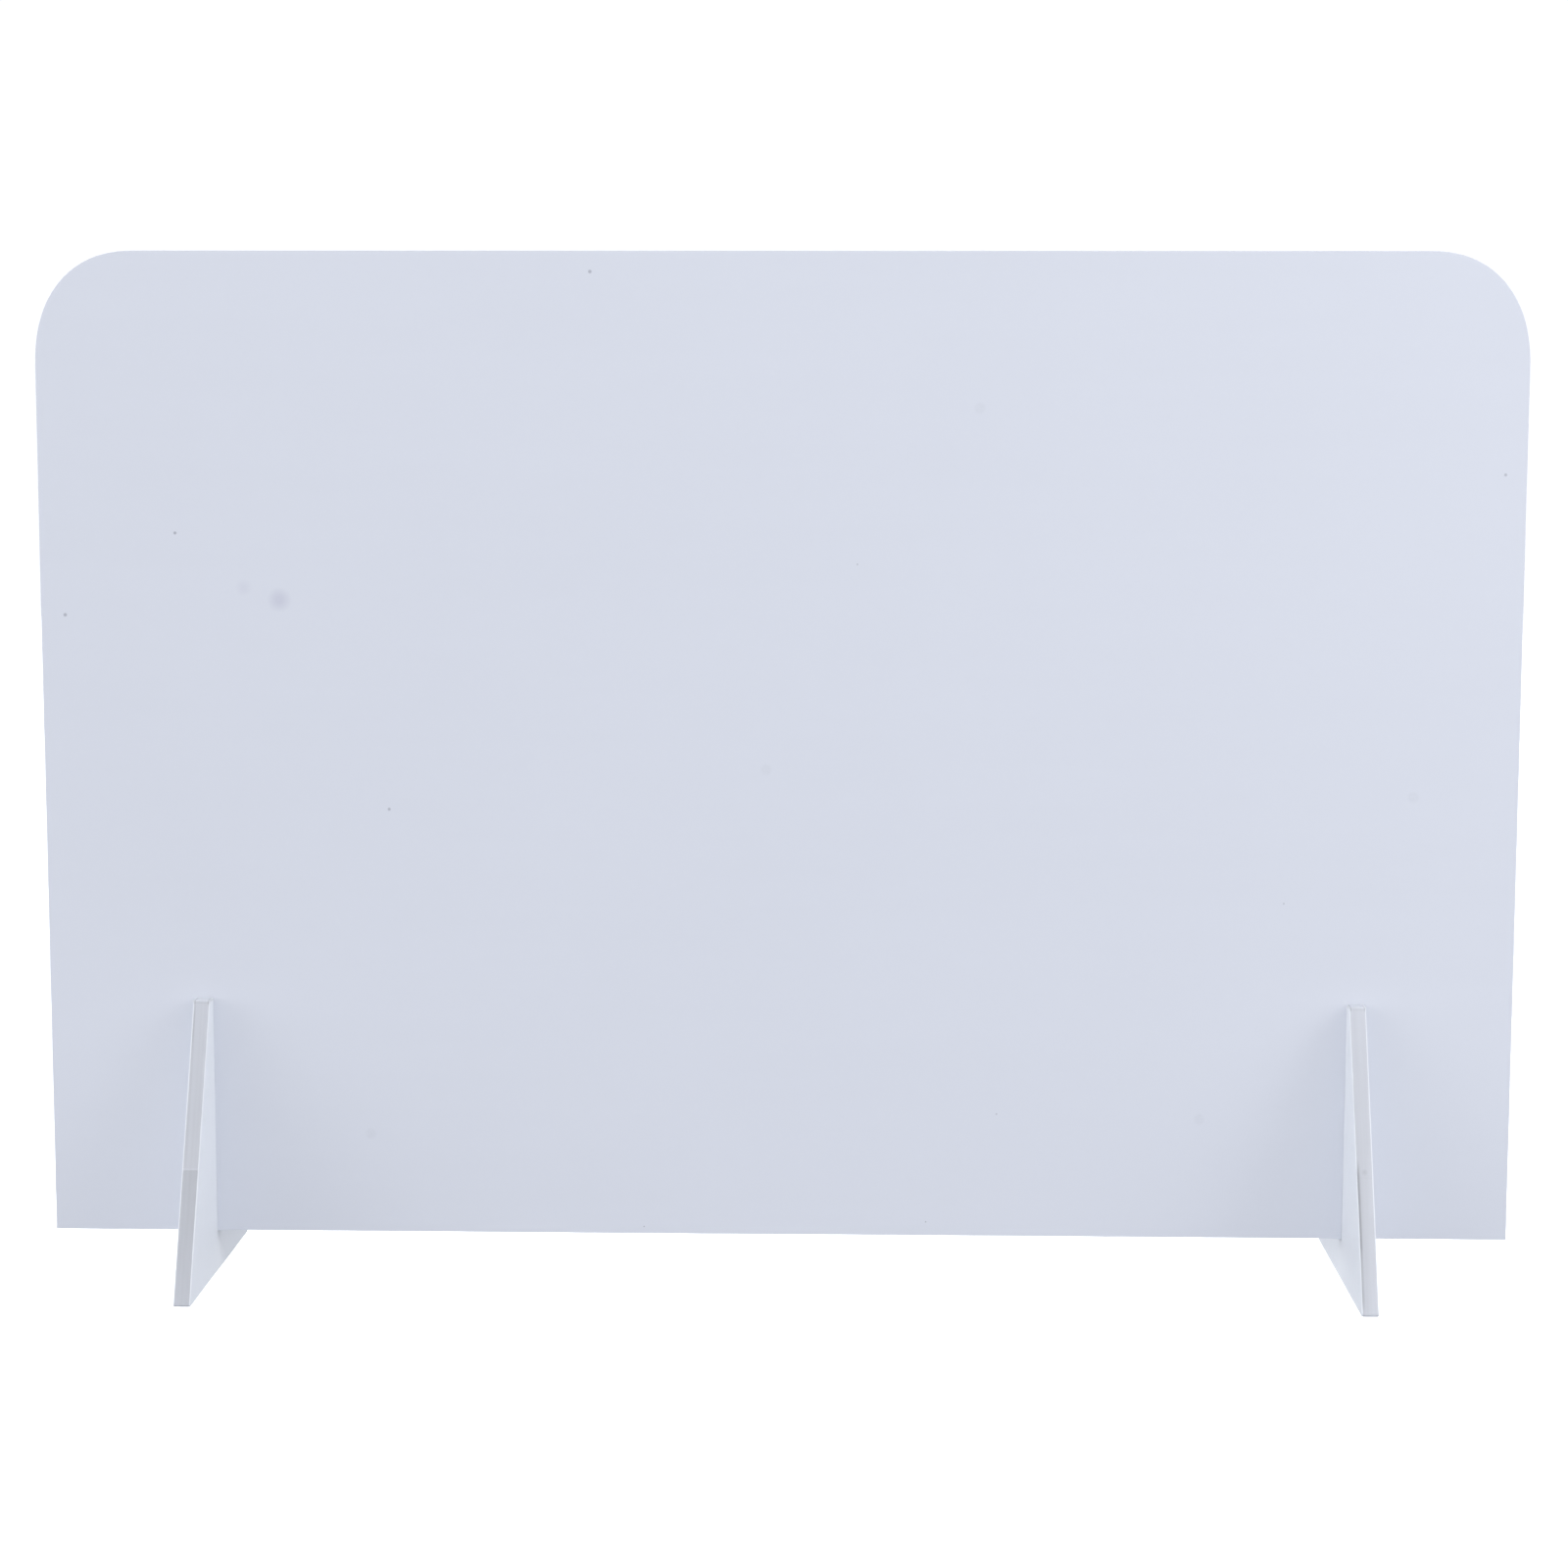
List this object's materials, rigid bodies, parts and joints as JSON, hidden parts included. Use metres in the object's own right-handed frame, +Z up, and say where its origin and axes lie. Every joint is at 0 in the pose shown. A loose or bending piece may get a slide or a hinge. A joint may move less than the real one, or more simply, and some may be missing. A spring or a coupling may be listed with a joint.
{
  "type": "counter-top sneeze guard",
  "caption": "Free-standing counter screen: upright masked acrylic panel with round top corners, standing in slotted triangular feet that leave a gap under it.",
  "frame": {"origin": "on the counter, under the middle of the panel", "axes": "+X right along the panel as the guests see it, +Y back to the food side, +Z up"},
  "size_m": [0.6, 0.1192, 0.419],
  "materials": {
    "clear_acrylic": "clear sheet with sawn, lightly polished edges",
    "masking_film": "cool white matt protective film"
  },
  "bodies": {
    "panel": {"panel_sheet": "clear_acrylic", "panel_front_film": "masking_film", "panel_rear_film": "masking_film"},
    "left_foot": {"left_foot_sheet": "clear_acrylic", "left_foot_inner_film": "masking_film", "left_foot_outer_film": "masking_film"},
    "right_foot": {"right_foot_sheet": "clear_acrylic", "right_foot_inner_film": "masking_film", "right_foot_outer_film": "masking_film"}
  },
  "joints": [
    {"name": "left_foot_slide", "type": "slide", "parent": "panel", "child": "left_foot", "axis": [0, 0, -1], "range_m": [0, 0.1]},
    {"name": "right_foot_slide", "type": "slide", "parent": "panel", "child": "right_foot", "axis": [0, 0, -1], "range_m": [0, 0.1]}
  ]
}
